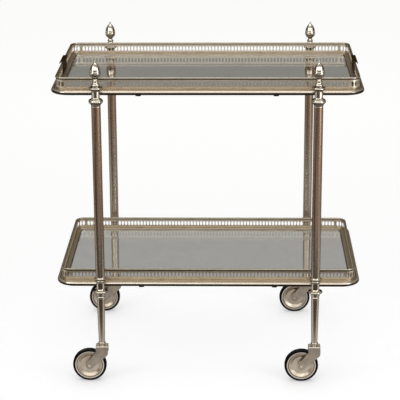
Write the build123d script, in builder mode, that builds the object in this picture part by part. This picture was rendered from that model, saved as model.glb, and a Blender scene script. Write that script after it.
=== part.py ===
from build123d import *
from math import acos, atan2, cos, floor, hypot, isclose, pi, radians, sin, sqrt
import os

os.makedirs("parts", exist_ok=True)

# A two tier serving trolley. Lengths are millimetres, +Z is up, +X runs along the long sides,
# and the origin lies on the floor under the middle of the trolley.

# Trays, measured over the half round moulding
TRAY_LENGTH = 714.0
TRAY_DEPTH = 431.0
TRAY_CORNER_R = 44.0
LEAST_CORNER_R = 1.0
UPPER_RAIL_Z = 698.3
LOWER_RAIL_Z = 238.1

# Rail: half round moulding with a web that carries the tray deck
MOULDING_HEIGHT = 10.0
MOULDING_WIDTH = 6.5
MOULDING_FLAT = 0.6
WEB_THICKNESS = 2.5
WEB_WIDTH = 17.5
TAB_SPACING = 312.0
TAB_WIDTH = 12.0
TAB_THICKNESS = 2.0
TAB_SETBACK = 2.5
TAB_CORNER_R = 2.5

# Deck: pressed sheet rim that lies on the web and holds the glass
SHEET = 1.5
DECK_CLEARANCE = 1.5
DECK_LEDGE_WIDTH = 25.5
DECK_EDGE_ROUND = 0.6
# The web, the well, the glass and the gallery stand this much nearer to the short ends
END_GAIN = 11.5
GLASS_RECESS = 3.0
GLASS_THICKNESS = 6.0
GLASS_SEAT = 8.0
GLASS_CLEARANCE = 0.4
GLASS_EDGE_ROUND = 0.8

# Pierced gallery and its top wire
GALLERY_INSET = 23.5
GALLERY_HEIGHT = 23.3
SLOT_PITCH = 8.1
SLOT_WIDTH = 6.2
SLOT_BASE = 5.5
SLOT_TOP_BAND = 5.8
PEARL_HOLE_R = 0.9
PEARL_HOLE_INSET = 0.3
WIRE_WIDTH = 4.6
WIRE_HEIGHT = 3.5
WIRE_FLAT = 0.5
JOINT_GAP = 0.05

# Grips on the short ends of the lift off tray
GRIP_LENGTH = 76.0
GRIP_PLAIN_MARGIN = 6.0
GRIP_OVERHANG = 7.0
GRIP_DOWNTURN = 7.0
GRIP_FOOT = 1.5
GRIP_WIRE_GAP = 0.3
GRIP_BEND_R = 1.2
GRIP_RIVET_SPACING = 54.0
RIVET_R = 1.5
RIVET_HEAD_R = 3.0
RIVET_HEAD_HEIGHT = 1.1
RIVET_HEIGHT_ON_GRIP = 9.0

# Posts
POST_INSET = 106.0
WAIST_R = 9.5
SEAT_DEPTH = 1.0
FIT = 0.05
ROD_R = 3.0
ROD_CLEARANCE = 0.2
COLUMN_R = 10.2
COLUMN_WALL = 1.25
SPIGOT_LENGTH = 12.0

# Upper spool, stacked up and down from the waist that grips the moulding
UPPER_WAIST_RISE = 2.5
UPPER_FLARE_HEIGHT = 4.5
UPPER_FLARE_HOLLOW = 0.8
UPPER_CUP_R = 15.2
UPPER_CUP_EDGE = 5.0
UPPER_CUP_SWELL = 1.6
UPPER_CAP_R = 9.0
UPPER_CAP_HEIGHT = 2.0
UPPER_WAIST_DROP = 1.0
UPPER_FOOT_HEIGHT = 3.8
UPPER_FOOT_HOLLOW = 1.0
UPPER_COLLAR_R = 12.2
UPPER_COLLAR_HEIGHT = 1.2
UPPER_RING_R = 16.5
UPPER_RING_HEIGHT = 9.5
UPPER_RING_SWELL = 2.6
UPPER_TAPER_HEIGHT = 8.0
UPPER_TAPER_HOLLOW = 1.3

# Lower spool, stacked up and down from the waist that grips the moulding
LOWER_WAIST_RISE = 3.5
LOWER_NECK_HEIGHT = 3.0
LOWER_NECK_HOLLOW = 0.3
LOWER_BEAD_R = 12.0
LOWER_BEAD_HEIGHT = 4.0
LOWER_BEAD_SWELL = 1.2
LOWER_GROOVE_R = 10.2
LOWER_GROOVE_HEIGHT = 3.0
LOWER_COLLAR_R = 13.8
LOWER_COLLAR_EDGE = 1.0
LOWER_COLLAR_HEIGHT = 3.5
LOWER_COLLAR_HOLLOW = 0.8
LOWER_WAIST_DROP = 1.0
LOWER_FOOT_HEIGHT = 4.0
LOWER_FOOT_HOLLOW = 1.2
LOWER_RING_R = 17.0
LOWER_RING_HEIGHT = 5.5
LOWER_RING_SWELL = 2.4
LOWER_STEP_R = 11.6
LOWER_STEP_HEIGHT = 4.0
LOWER_STEP_SLOPE = 1.0
ANKLET_NECK_R = 8.2
ANKLET_NECK_HEIGHT = 2.5
ANKLET_SWELL = 1.2
ANKLET_HEIGHT = 4.0
ANKLET_TAIL = 3.5

# Finial, stacked from its seat on the upper spool
FINIAL_BELL_R = 10.0
FINIAL_BELL_HEIGHT = 5.0
FINIAL_BELL_SWELL = 1.4
FINIAL_SHOULDER_HEIGHT = 5.0
FINIAL_SHOULDER_HOLLOW = 0.7
FINIAL_RING_R = 7.5
FINIAL_RING_HEIGHT = 3.0
FINIAL_RING_SWELL = 1.2
FINIAL_NECK_R = 5.0
FINIAL_NECK_BELOW = 3.0
FINIAL_NECK_ABOVE = 2.5
BUD_BASE_R = 5.4
BUD_CUP_R = 12.2
BUD_CUP_HEIGHT = 14.5
BUD_CUP_SWELL = 2.6
BUD_STEP = 0.3
BUD_BRIM = 0.8
BUD_HEIGHT = 21.2
BUD_SWELL = 2.6
BUD_TIP_R = 1.2
TIP_BEAD_R = 2.1
FINIAL_BORE_DEPTH = 14.0
ROD_END_GAP = 1.5

# Legs and casters
LEG_TOP_R = 9.5
LEG_ANKLE_R = 7.3
LEG_BORE_DEPTH = 24.0
FOOT_RING_R = 8.9
FOOT_RING_HEIGHT = 6.5
SOCKET_WALL = 1.15
SOCKET_LENGTH = 40.0
STEM_R = 4.0
STEM_END_GAP = 4.0
STEM_WASHER_R = 6.4
STEM_WASHER_HEIGHT = 1.6
STEM_HEAD_R = 6.0
STEM_HEAD_HEIGHT = 1.5
SWIVEL_GAP = 0.4
RUNNING_FIT = 0.06
WHEEL_R = 40.0
WHEEL_HEADROOM = 7.0
CASTER_TRAIL = 30.0
TYRE_WIDTH = 15.0
TYRE_THICKNESS = 5.5
TYRE_WALL = 1.5
TYRE_LIP = 0.8
TYRE_PROUD = 0.9
RIM_LAND = 4.0
RIM_GROOVE_WIDTH = 1.6
RIM_GROOVE_DEPTH = 1.0
RIM_INNER_LAND = 2.3
DISH_WIDTH = 6.7
DISC_HALF_WIDTH = 2.6
HUB_R = 8.5
HUB_GAP = 1.0
FORK_SIDE_GAP = 3.0
FORK_SHEET = 2.0
FORK_TOP_SHEET = 2.5
FORK_WIDTH = 28.6
FORK_FRONT_DROP = 15.5
FORK_BACK_DROP = 21.5
FORK_EYE_R = 9.0
FORK_BEND_R = 3.0
FORK_ELBOW_R = 8.0
AXLE_R = 3.0
AXLE_HEAD_R = 3.6
AXLE_HEAD_HEIGHT = 1.6
AXLE_HEAD_TAPER = 25.0

# Rail screws
SCREW_R = 1.9
SCREW_HEAD_R = 3.4
SCREW_HEAD_HEIGHT = 2.4
SCREW_WALL = 1.0

# Places worked out from the sizes above
POST_X = TRAY_LENGTH / 2 - POST_INSET
POST_Y = TRAY_DEPTH / 2 + WAIST_R - SEAT_DEPTH
POSTS = {
    "front_left": (-POST_X, -POST_Y, 0),
    "front_right": (POST_X, -POST_Y, 0),
    "rear_left": (-POST_X, POST_Y, 180),
    "rear_right": (POST_X, POST_Y, 180),
}
MOULDING_ROUND = min((MOULDING_HEIGHT - MOULDING_FLAT) / 2, MOULDING_WIDTH - MOULDING_FLAT)
WEB_TOP = -MOULDING_HEIGHT / 2 + WEB_THICKNESS
DECK_OUTER = MOULDING_WIDTH + DECK_CLEARANCE
DECK_INNER = DECK_OUTER + DECK_LEDGE_WIDTH
DECK_TOP = MOULDING_HEIGHT / 2
GLASS_TOP = DECK_TOP - GLASS_RECESS
GLASS_BASE = GLASS_TOP - GLASS_THICKNESS
GALLERY_X = TRAY_LENGTH / 2 - GALLERY_INSET + END_GAIN
GALLERY_Y = TRAY_DEPTH / 2 - GALLERY_INSET
GALLERY_R = TRAY_CORNER_R - GALLERY_INSET
STRAIGHT_X = 2 * (GALLERY_X - GALLERY_R)
STRAIGHT_Y = 2 * (GALLERY_Y - GALLERY_R)
SLOT_HEIGHT = GALLERY_HEIGHT - SLOT_BASE - SLOT_TOP_BAND
CORNER_SLOTS = round(GALLERY_R * pi / 2 / SLOT_PITCH)
WIRE_BASE = DECK_TOP + GALLERY_HEIGHT
WIRE_TOP = WIRE_BASE + WIRE_HEIGHT
WIRE_ROUND = (min(WIRE_WIDTH, WIRE_HEIGHT) - WIRE_FLAT) / 2
RIVET_RISE = GRIP_FOOT + RIVET_HEIGHT_ON_GRIP
RIVET_PLACES = (-GRIP_RIVET_SPACING / 2, GRIP_RIVET_SPACING / 2)
SPIGOT_R = COLUMN_R - COLUMN_WALL - FIT
ROD_BORE_R = ROD_R + ROD_CLEARANCE
ROD_FIT_R = ROD_R + FIT

# Heights on the spools, from the middle of the moulding
UPPER_WAIST_TOP = MOULDING_HEIGHT / 2 + UPPER_WAIST_RISE
UPPER_CUP_BASE = UPPER_WAIST_TOP + UPPER_FLARE_HEIGHT
UPPER_CUP_TOP = UPPER_CUP_BASE + UPPER_CUP_EDGE
UPPER_CAP_TOP = UPPER_CUP_TOP + UPPER_CAP_HEIGHT
UPPER_WAIST_BASE = -MOULDING_HEIGHT / 2 - UPPER_WAIST_DROP
UPPER_COLLAR_TOP = UPPER_WAIST_BASE - UPPER_FOOT_HEIGHT
UPPER_RING_TOP = UPPER_COLLAR_TOP - UPPER_COLLAR_HEIGHT
UPPER_RING_BASE = UPPER_RING_TOP - UPPER_RING_HEIGHT
UPPER_SPOOL_BASE = UPPER_RING_BASE - UPPER_TAPER_HEIGHT
LOWER_WAIST_TOP = MOULDING_HEIGHT / 2 + LOWER_WAIST_RISE
LOWER_BEAD_BASE = LOWER_WAIST_TOP + LOWER_NECK_HEIGHT
LOWER_BEAD_TOP = LOWER_BEAD_BASE + LOWER_BEAD_HEIGHT
LOWER_COLLAR_BASE = LOWER_BEAD_TOP + LOWER_GROOVE_HEIGHT
LOWER_COLLAR_TOP = LOWER_COLLAR_BASE + LOWER_COLLAR_EDGE
LOWER_SPOOL_TOP = LOWER_COLLAR_TOP + LOWER_COLLAR_HEIGHT
LOWER_WAIST_BASE = -MOULDING_HEIGHT / 2 - LOWER_WAIST_DROP
LOWER_RING_TOP = LOWER_WAIST_BASE - LOWER_FOOT_HEIGHT
LOWER_RING_BASE = LOWER_RING_TOP - LOWER_RING_HEIGHT
LOWER_STEP_BASE = LOWER_RING_BASE - LOWER_STEP_HEIGHT
ANKLET_TOP = LOWER_STEP_BASE - LOWER_STEP_SLOPE - ANKLET_NECK_HEIGHT
ANKLET_BASE = ANKLET_TOP - ANKLET_HEIGHT
LOWER_SPOOL_BASE = ANKLET_BASE - ANKLET_TAIL

# Heights on the finial, from its seat
FINIAL_RING_BASE = FINIAL_BELL_HEIGHT + FINIAL_SHOULDER_HEIGHT
FINIAL_RING_TOP = FINIAL_RING_BASE + FINIAL_RING_HEIGHT
FINIAL_NECK_Z = FINIAL_RING_TOP + FINIAL_NECK_BELOW
BUD_BASE_Z = FINIAL_NECK_Z + FINIAL_NECK_ABOVE
BUD_CUP_Z = BUD_BASE_Z + BUD_CUP_HEIGHT
BUD_TIP_Z = BUD_CUP_Z + BUD_BRIM + BUD_HEIGHT

# Heights above the floor and sizes of the casters
LEG_TOP_Z = LOWER_RAIL_Z + LOWER_SPOOL_BASE
FINIAL_SEAT_Z = UPPER_RAIL_Z + UPPER_CAP_TOP
FORK_TOP = WHEEL_R + WHEEL_HEADROOM + FORK_TOP_SHEET
FORK_TOP_Z = WHEEL_R + FORK_TOP
LEG_FOOT_Z = FORK_TOP_Z + STEM_WASHER_HEIGHT + SWIVEL_GAP
SOCKET_BORE_R = STEM_R + RUNNING_FIT
SOCKET_R = SOCKET_BORE_R + SOCKET_WALL
FORK_GAP = TYRE_WIDTH + 2 * FORK_SIDE_GAP
TYRE_BASE_R = WHEEL_R - TYRE_THICKNESS
TYRE_SHOULDER = TYRE_THICKNESS - TYRE_WALL
RIM_HALF_WIDTH = TYRE_WIDTH / 2 - TYRE_PROUD
RIM_GROOVE_R = TYRE_BASE_R - RIM_LAND
DISH_OUTER_R = RIM_GROOVE_R - RIM_INNER_LAND
DISH_INNER_R = DISH_OUTER_R - DISH_WIDTH
TURNING_PLANE = Plane.XZ


def save(piece, name):
    """Label a finished piece and write it as its own file."""
    piece.label = name
    export_step(piece, f"parts/{name}.step")


def save_on_posts(piece, name):
    """Write one copy of a post piece for each of the four posts."""
    for post, (x, y, turn) in POSTS.items():
        save(Pos(x, y, 0) * Rot(0, 0, turn) * piece, f"{name}_{post}")


def plate(inset, end_gain=0.0, mode=Mode.ADD):
    """Draw a rounded rectangle inside the tray's outer edge, longer at both short ends by a gain."""
    RectangleRounded(
        TRAY_LENGTH - 2 * inset + 2 * end_gain,
        TRAY_DEPTH - 2 * inset,
        max(TRAY_CORNER_R - inset, LEAST_CORNER_R),
        mode=mode,
    )


def band(outer_inset, inner_inset, outer_gain=0.0, inner_gain=0.0):
    """Draw the flat rounded band between two insets from the tray's outer edge."""
    plate(outer_inset, outer_gain)
    plate(inner_inset, inner_gain, Mode.SUBTRACT)


def disc(radius, z_low, z_high, mode=Mode.ADD):
    """Add or cut a round bar about the Z axis between two heights."""
    with Locations((0, 0, z_low)):
        Cylinder(radius, z_high - z_low, align=(Align.CENTER, Align.CENTER, Align.MIN), mode=mode)


# Rails: moulding, web, a saddle at each post and a screw hole through the saddle
for tier, rail_z in (("upper", UPPER_RAIL_Z), ("lower", LOWER_RAIL_Z)):
    with BuildPart() as rail:
        with BuildSketch(Plane.XY.offset(rail_z - MOULDING_HEIGHT / 2)):
            band(0, MOULDING_WIDTH)
        extrude(amount=MOULDING_HEIGHT)
        outer_loops = [
            edge
            for face in rail.faces().filter_by(Axis.Z)
            for edge in face.outer_wire().edges()
        ]
        fillet(outer_loops, radius=MOULDING_ROUND)
        with BuildSketch(Plane.XY.offset(rail_z - MOULDING_HEIGHT / 2)):
            band(MOULDING_WIDTH / 2, MOULDING_WIDTH + WEB_WIDTH, 0.0, END_GAIN)
        extrude(amount=WEB_THICKNESS)
        with BuildSketch(Plane.XY.offset(rail_z - MOULDING_HEIGHT)):
            with Locations(*[(x, y) for x, y, turn in POSTS.values()]):
                Circle(WAIST_R + FIT)
        extrude(amount=2 * MOULDING_HEIGHT, mode=Mode.SUBTRACT)
        with BuildSketch(Plane.XZ):
            with Locations((-POST_X, rail_z), (POST_X, rail_z)):
                Circle(SCREW_R + FIT)
        extrude(amount=TRAY_DEPTH, both=True, mode=Mode.SUBTRACT)
        head_y = TRAY_DEPTH / 2 - MOULDING_WIDTH
        for x, y, turn in POSTS.values():
            side = 1 if y > 0 else -1
            with BuildSketch(Plane((x, side * head_y, rail_z), x_dir=(1, 0, 0), z_dir=(0, side, 0))):
                Circle(SCREW_HEAD_R + FIT)
            extrude(amount=SCREW_HEAD_HEIGHT + FIT, mode=Mode.SUBTRACT)
    save(rail.part, f"{tier}_rail")

# Rest tabs under both long sides of each rail
with BuildPart() as rest_tabs:
    tab_depth = MOULDING_WIDTH + WEB_WIDTH - TAB_SETBACK
    for rail_z in (UPPER_RAIL_Z, LOWER_RAIL_Z):
        with BuildSketch(Plane.XY.offset(rail_z - MOULDING_HEIGHT / 2 - TAB_THICKNESS)):
            with GridLocations(TAB_SPACING, TRAY_DEPTH - 2 * TAB_SETBACK - tab_depth, 2, 2):
                RectangleRounded(TAB_WIDTH, tab_depth, TAB_CORNER_R)
        extrude(amount=TAB_THICKNESS)
save(rest_tabs.part, "rest_tabs")

# Screws that hold the rails to the spools
with BuildPart() as rail_screws:
    for rail_z in (UPPER_RAIL_Z, LOWER_RAIL_Z):
        for x, y, turn in POSTS.values():
            side = 1 if y > 0 else -1
            head_face = Plane((x, side * head_y, rail_z), x_dir=(1, 0, 0), z_dir=(0, side, 0))
            tip = POST_Y - ROD_BORE_R - SCREW_WALL - head_y
            with BuildSketch(head_face):
                Circle(SCREW_HEAD_R)
            extrude(amount=SCREW_HEAD_HEIGHT)
            with BuildSketch(head_face):
                Circle(SCREW_R)
            extrude(amount=tip)
save(rail_screws.part, "rail_screws")

# Decks and glass: the upper set lifts off as a tray, the lower set stays on its rail
for tier, deck_name, rail_z in (
    ("upper", "tray_deck", UPPER_RAIL_Z),
    ("lower", "lower_deck", LOWER_RAIL_Z),
):
    with BuildPart() as deck:
        with BuildSketch(Plane.XY.offset(rail_z + DECK_TOP - SHEET)):
            band(DECK_OUTER, DECK_INNER, 0.0, END_GAIN)
        extrude(amount=SHEET)
        fillet(deck.faces().sort_by(Axis.Z)[-1].edges(), radius=DECK_EDGE_ROUND)
        with BuildSketch(Plane.XY.offset(rail_z + WEB_TOP)):
            band(DECK_OUTER, DECK_OUTER + SHEET)
        extrude(amount=DECK_TOP - SHEET - WEB_TOP)
        with BuildSketch(Plane.XY.offset(rail_z + GLASS_BASE - SHEET)):
            band(DECK_INNER - SHEET, DECK_INNER, END_GAIN, END_GAIN)
        extrude(amount=DECK_TOP - GLASS_BASE)
        with BuildSketch(Plane.XY.offset(rail_z + GLASS_BASE - SHEET)):
            band(DECK_INNER - SHEET, DECK_INNER + GLASS_SEAT, END_GAIN, END_GAIN)
        extrude(amount=SHEET)
    save(deck.part, deck_name)

    with BuildPart() as glass:
        with BuildSketch(Plane.XY.offset(rail_z + GLASS_BASE)):
            plate(DECK_INNER + GLASS_CLEARANCE, END_GAIN)
        extrude(amount=GLASS_THICKNESS)
        fillet(glass.faces().sort_by(Axis.Z)[-1].edges(), radius=GLASS_EDGE_ROUND)
    save(glass.part, f"{tier}_glass")


def pierced_strip(straight, plain):
    """A gallery strip standing along X on the deck, with a plain length in its middle."""
    count = floor((straight - SLOT_PITCH / 2) / SLOT_PITCH)
    height = SLOT_BASE + SLOT_HEIGHT / 2
    pearl = SLOT_HEIGHT / 2 - PEARL_HOLE_INSET
    places = [(i - (count - 1) / 2) * SLOT_PITCH for i in range(count)]
    slots = [x for x in places if abs(x) >= plain / 2]
    gaps = [a + SLOT_PITCH / 2 for a, b in zip(slots, slots[1:]) if isclose(b - a, SLOT_PITCH)]
    with BuildPart() as strip:
        with BuildSketch(Plane.XZ):
            with Locations((0, GALLERY_HEIGHT / 2)):
                Rectangle(straight - 2 * JOINT_GAP, GALLERY_HEIGHT)
            with Locations(*[(x, height) for x in slots]):
                Ellipse(SLOT_WIDTH / 2, SLOT_HEIGHT / 2, mode=Mode.SUBTRACT)
            with Locations(*[(x, height + rise) for x in gaps for rise in (-pearl, pearl)]):
                Circle(PEARL_HOLE_R, mode=Mode.SUBTRACT)
            if plain:
                with Locations(*[(x, RIVET_RISE) for x in RIVET_PLACES]):
                    Circle(RIVET_R + FIT, mode=Mode.SUBTRACT)
        extrude(amount=SHEET / 2, both=True)
    return strip.part


def corner_block(width, height):
    """A quarter turn of the gallery's corner radius, in the corner that points to +X and +Y."""
    reach = GALLERY_R + width
    middle = reach / 2 + JOINT_GAP
    with BuildPart() as corner:
        with BuildSketch(Plane.XY):
            Circle(GALLERY_R + width / 2)
            Circle(GALLERY_R - width / 2, mode=Mode.SUBTRACT)
            with Locations((middle, middle)):
                Rectangle(reach, reach, mode=Mode.INTERSECT)
        extrude(amount=height)
    return corner.part


def pierced_corner():
    """A gallery corner with its slots cut along rays from the corner's centre."""
    with BuildPart() as corner:
        add(corner_block(SHEET, GALLERY_HEIGHT))
        for i in range(CORNER_SLOTS):
            angle = radians((i + 0.5) * 90 / CORNER_SLOTS)
            across = (-sin(angle), cos(angle), 0)
            ray = (cos(angle), sin(angle), 0)
            with BuildSketch(Plane((0, 0, SLOT_BASE + SLOT_HEIGHT / 2), x_dir=across, z_dir=ray)):
                Ellipse(SLOT_WIDTH / 2, SLOT_HEIGHT / 2)
            extrude(amount=GALLERY_R + SHEET, mode=Mode.SUBTRACT)
    return corner.part


def wire_run(straight):
    """A straight length of the gallery's top wire along X, round on its long edges."""
    with BuildPart() as run:
        Box(
            straight - 2 * JOINT_GAP,
            WIRE_WIDTH,
            WIRE_HEIGHT,
            align=(Align.CENTER, Align.CENTER, Align.MIN),
        )
        fillet(run.edges().filter_by(Axis.X), radius=WIRE_ROUND)
    return run.part


def wire_corner():
    """A bent corner of the gallery's top wire, round on its long edges."""
    with BuildPart() as bend:
        add(corner_block(WIRE_WIDTH, WIRE_HEIGHT))
        fillet(bend.edges().filter_by(GeomType.CIRCLE), radius=WIRE_ROUND)
    return bend.part


def around_tray(z, long_piece, short_piece, corner):
    """Set two long pieces, two short pieces and four corners around the gallery line."""
    cx, cy = STRAIGHT_X / 2, STRAIGHT_Y / 2
    corners = ((cx, cy, 0), (-cx, cy, 90), (-cx, -cy, 180), (cx, -cy, 270))
    pieces = [Pos(0, side * GALLERY_Y, z) * long_piece for side in (-1, 1)]
    pieces += [Pos(side * GALLERY_X, 0, z) * Rot(0, 0, 90) * short_piece for side in (-1, 1)]
    pieces += [Pos(x, y, z) * Rot(0, 0, turn) * corner for x, y, turn in corners]
    return Compound([piece.solid() for piece in pieces])


# Galleries: four pierced strips and four pierced corners, with a wire along the top
long_strip = pierced_strip(STRAIGHT_X, 0)
gallery_corner = pierced_corner()
for tier, rail_z, plain in (
    ("upper", UPPER_RAIL_Z, GRIP_LENGTH + 2 * GRIP_PLAIN_MARGIN),
    ("lower", LOWER_RAIL_Z, 0),
):
    gallery = around_tray(rail_z + DECK_TOP, long_strip, pierced_strip(STRAIGHT_Y, plain), gallery_corner)
    save(gallery, f"{tier}_gallery")
    wire = around_tray(rail_z + WIRE_BASE, wire_run(STRAIGHT_X), wire_run(STRAIGHT_Y), wire_corner())
    save(wire, f"{tier}_gallery_wire")

# Grips: bent plates over the wire at the middle of each short end, and their rivets
grip_foot_z = UPPER_RAIL_Z + DECK_TOP + GRIP_FOOT
knee_top_z = UPPER_RAIL_Z + WIRE_BASE - SHEET / 2
knee_base_z = knee_top_z - 3 * SHEET / 2
grip_top_z = UPPER_RAIL_Z + WIRE_TOP + GRIP_WIRE_GAP
foot_face = GALLERY_X - SHEET / 2
wire_face = GALLERY_X - WIRE_WIDTH / 2 - GRIP_WIRE_GAP
lip_x = GALLERY_X + WIRE_WIDTH / 2 + GRIP_OVERHANG
rivet_z = UPPER_RAIL_Z + DECK_TOP + RIVET_RISE
with BuildPart() as grip:
    with BuildSketch(Plane.XZ):
        with BuildLine():
            Polyline(
                (foot_face, grip_foot_z),
                (foot_face, knee_base_z),
                (wire_face, knee_top_z),
                (wire_face, grip_top_z),
                (lip_x - SHEET, grip_top_z),
                (lip_x - SHEET, grip_top_z - GRIP_DOWNTURN),
                (lip_x, grip_top_z - GRIP_DOWNTURN),
                (lip_x, grip_top_z + SHEET),
                (wire_face - SHEET, grip_top_z + SHEET),
                (wire_face - SHEET, knee_top_z - SHEET / 2),
                (foot_face - SHEET, knee_base_z - SHEET / 2),
                (foot_face - SHEET, grip_foot_z),
                close=True,
            )
        make_face()
    extrude(amount=GRIP_LENGTH / 2, both=True)
    outer_bends = grip.edges().filter_by(Axis.Y).group_by(Axis.Z)[-1]
    fillet(outer_bends, radius=GRIP_BEND_R)
    with BuildSketch(Plane.YZ):
        with Locations(*[(y, rivet_z) for y in RIVET_PLACES]):
            Circle(RIVET_R + FIT)
    extrude(amount=foot_face, mode=Mode.SUBTRACT)
save(Rot(0, 0, 180) * grip.part, "grip_left")
save(grip.part, "grip_right")

with BuildPart() as grip_rivets:
    for side in (-1, 1):
        for y in RIVET_PLACES:
            head_plane = Plane((side * (foot_face - SHEET), y, rivet_z), x_dir=(0, 1, 0), z_dir=(side, 0, 0))
            for start, length, radius in (
                (-RIVET_HEAD_HEIGHT, RIVET_HEAD_HEIGHT, RIVET_HEAD_R),
                (0, 2 * SHEET, RIVET_R),
                (2 * SHEET, RIVET_HEAD_HEIGHT, RIVET_HEAD_R),
            ):
                with BuildSketch(head_plane.offset(start)):
                    Circle(radius)
                extrude(amount=length)
save(grip_rivets.part, "grip_rivets")

# Upper spools: cup, waist that grips the moulding, ring and the spigot in the column
with BuildPart() as upper_spool:
    with BuildSketch(TURNING_PLANE):
        with BuildLine():
            cup_r = UPPER_CUP_R - UPPER_CUP_SWELL
            ring_r = UPPER_RING_R - UPPER_RING_SWELL
            cap = Polyline(
                (0, UPPER_CAP_TOP),
                (UPPER_CAP_R, UPPER_CAP_TOP),
                (UPPER_CAP_R, UPPER_CUP_TOP),
                (cup_r, UPPER_CUP_TOP),
            )
            cup = SagittaArc(cap @ 1, (cup_r, UPPER_CUP_BASE), UPPER_CUP_SWELL)
            flare = SagittaArc(cup @ 1, (WAIST_R, UPPER_WAIST_TOP), -UPPER_FLARE_HOLLOW)
            waist = Line(flare @ 1, (WAIST_R, UPPER_WAIST_BASE))
            foot = SagittaArc(waist @ 1, (UPPER_COLLAR_R, UPPER_COLLAR_TOP), -UPPER_FOOT_HOLLOW)
            step = Polyline(foot @ 1, (UPPER_COLLAR_R, UPPER_RING_TOP), (ring_r, UPPER_RING_TOP))
            ring = SagittaArc(step @ 1, (ring_r, UPPER_RING_BASE), UPPER_RING_SWELL)
            taper = SagittaArc(ring @ 1, (COLUMN_R, UPPER_SPOOL_BASE), -UPPER_TAPER_HOLLOW)
            Polyline(
                taper @ 1,
                (SPIGOT_R, UPPER_SPOOL_BASE),
                (SPIGOT_R, UPPER_SPOOL_BASE - SPIGOT_LENGTH),
                (0, UPPER_SPOOL_BASE - SPIGOT_LENGTH),
                (0, UPPER_CAP_TOP),
            )
        make_face()
    revolve(axis=Axis.Z)
    disc(ROD_BORE_R, UPPER_SPOOL_BASE - SPIGOT_LENGTH, UPPER_CAP_TOP, Mode.SUBTRACT)
    with BuildSketch(Plane.XZ.offset(-WAIST_R)):
        Circle(SCREW_R + FIT)
    extrude(amount=WAIST_R - ROD_BORE_R - SCREW_WALL + FIT, mode=Mode.SUBTRACT)
save_on_posts(Pos(0, 0, UPPER_RAIL_Z) * upper_spool.part, "upper_spool")

# Lower spools: collar, bead, waist and ring, with a spigot above for the column
with BuildPart() as lower_spool:
    with BuildSketch(TURNING_PLANE):
        with BuildLine():
            bead_r = LOWER_BEAD_R - LOWER_BEAD_SWELL
            ring_r = LOWER_RING_R - LOWER_RING_SWELL
            top = Polyline(
                (0, LOWER_SPOOL_TOP + SPIGOT_LENGTH),
                (SPIGOT_R, LOWER_SPOOL_TOP + SPIGOT_LENGTH),
                (SPIGOT_R, LOWER_SPOOL_TOP),
                (COLUMN_R, LOWER_SPOOL_TOP),
            )
            flare = SagittaArc(top @ 1, (LOWER_COLLAR_R, LOWER_COLLAR_TOP), -LOWER_COLLAR_HOLLOW)
            groove = Polyline(
                flare @ 1,
                (LOWER_COLLAR_R, LOWER_COLLAR_BASE),
                (LOWER_GROOVE_R, LOWER_BEAD_TOP),
                (bead_r, LOWER_BEAD_TOP),
            )
            bead = SagittaArc(groove @ 1, (bead_r, LOWER_BEAD_BASE), LOWER_BEAD_SWELL)
            neck = SagittaArc(bead @ 1, (WAIST_R, LOWER_WAIST_TOP), -LOWER_NECK_HOLLOW)
            waist = Line(neck @ 1, (WAIST_R, LOWER_WAIST_BASE))
            foot = SagittaArc(waist @ 1, (ring_r, LOWER_RING_TOP), -LOWER_FOOT_HOLLOW)
            ring = SagittaArc(foot @ 1, (ring_r, LOWER_RING_BASE), LOWER_RING_SWELL)
            step = Polyline(
                ring @ 1,
                (LOWER_STEP_R, LOWER_RING_BASE),
                (LOWER_STEP_R, LOWER_STEP_BASE),
                (ANKLET_NECK_R, LOWER_STEP_BASE - LOWER_STEP_SLOPE),
                (ANKLET_NECK_R, ANKLET_TOP),
            )
            anklet = SagittaArc(step @ 1, (ANKLET_NECK_R, ANKLET_BASE), ANKLET_SWELL)
            Polyline(
                anklet @ 1,
                (ANKLET_NECK_R, LOWER_SPOOL_BASE),
                (0, LOWER_SPOOL_BASE),
                (0, LOWER_SPOOL_TOP + SPIGOT_LENGTH),
            )
        make_face()
    revolve(axis=Axis.Z)
    disc(ROD_BORE_R, LOWER_SPOOL_BASE, LOWER_SPOOL_TOP + SPIGOT_LENGTH, Mode.SUBTRACT)
    with BuildSketch(Plane.XZ.offset(-WAIST_R)):
        Circle(SCREW_R + FIT)
    extrude(amount=WAIST_R - ROD_BORE_R - SCREW_WALL + FIT, mode=Mode.SUBTRACT)
save_on_posts(Pos(0, 0, LOWER_RAIL_Z) * lower_spool.part, "lower_spool")

# Columns: tubes between the spools
with BuildPart() as column:
    disc(COLUMN_R, LOWER_RAIL_Z + LOWER_SPOOL_TOP, UPPER_RAIL_Z + UPPER_SPOOL_BASE)
    disc(
        COLUMN_R - COLUMN_WALL,
        LOWER_RAIL_Z + LOWER_SPOOL_TOP,
        UPPER_RAIL_Z + UPPER_SPOOL_BASE,
        Mode.SUBTRACT,
    )
save_on_posts(column.part, "column")

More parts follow.
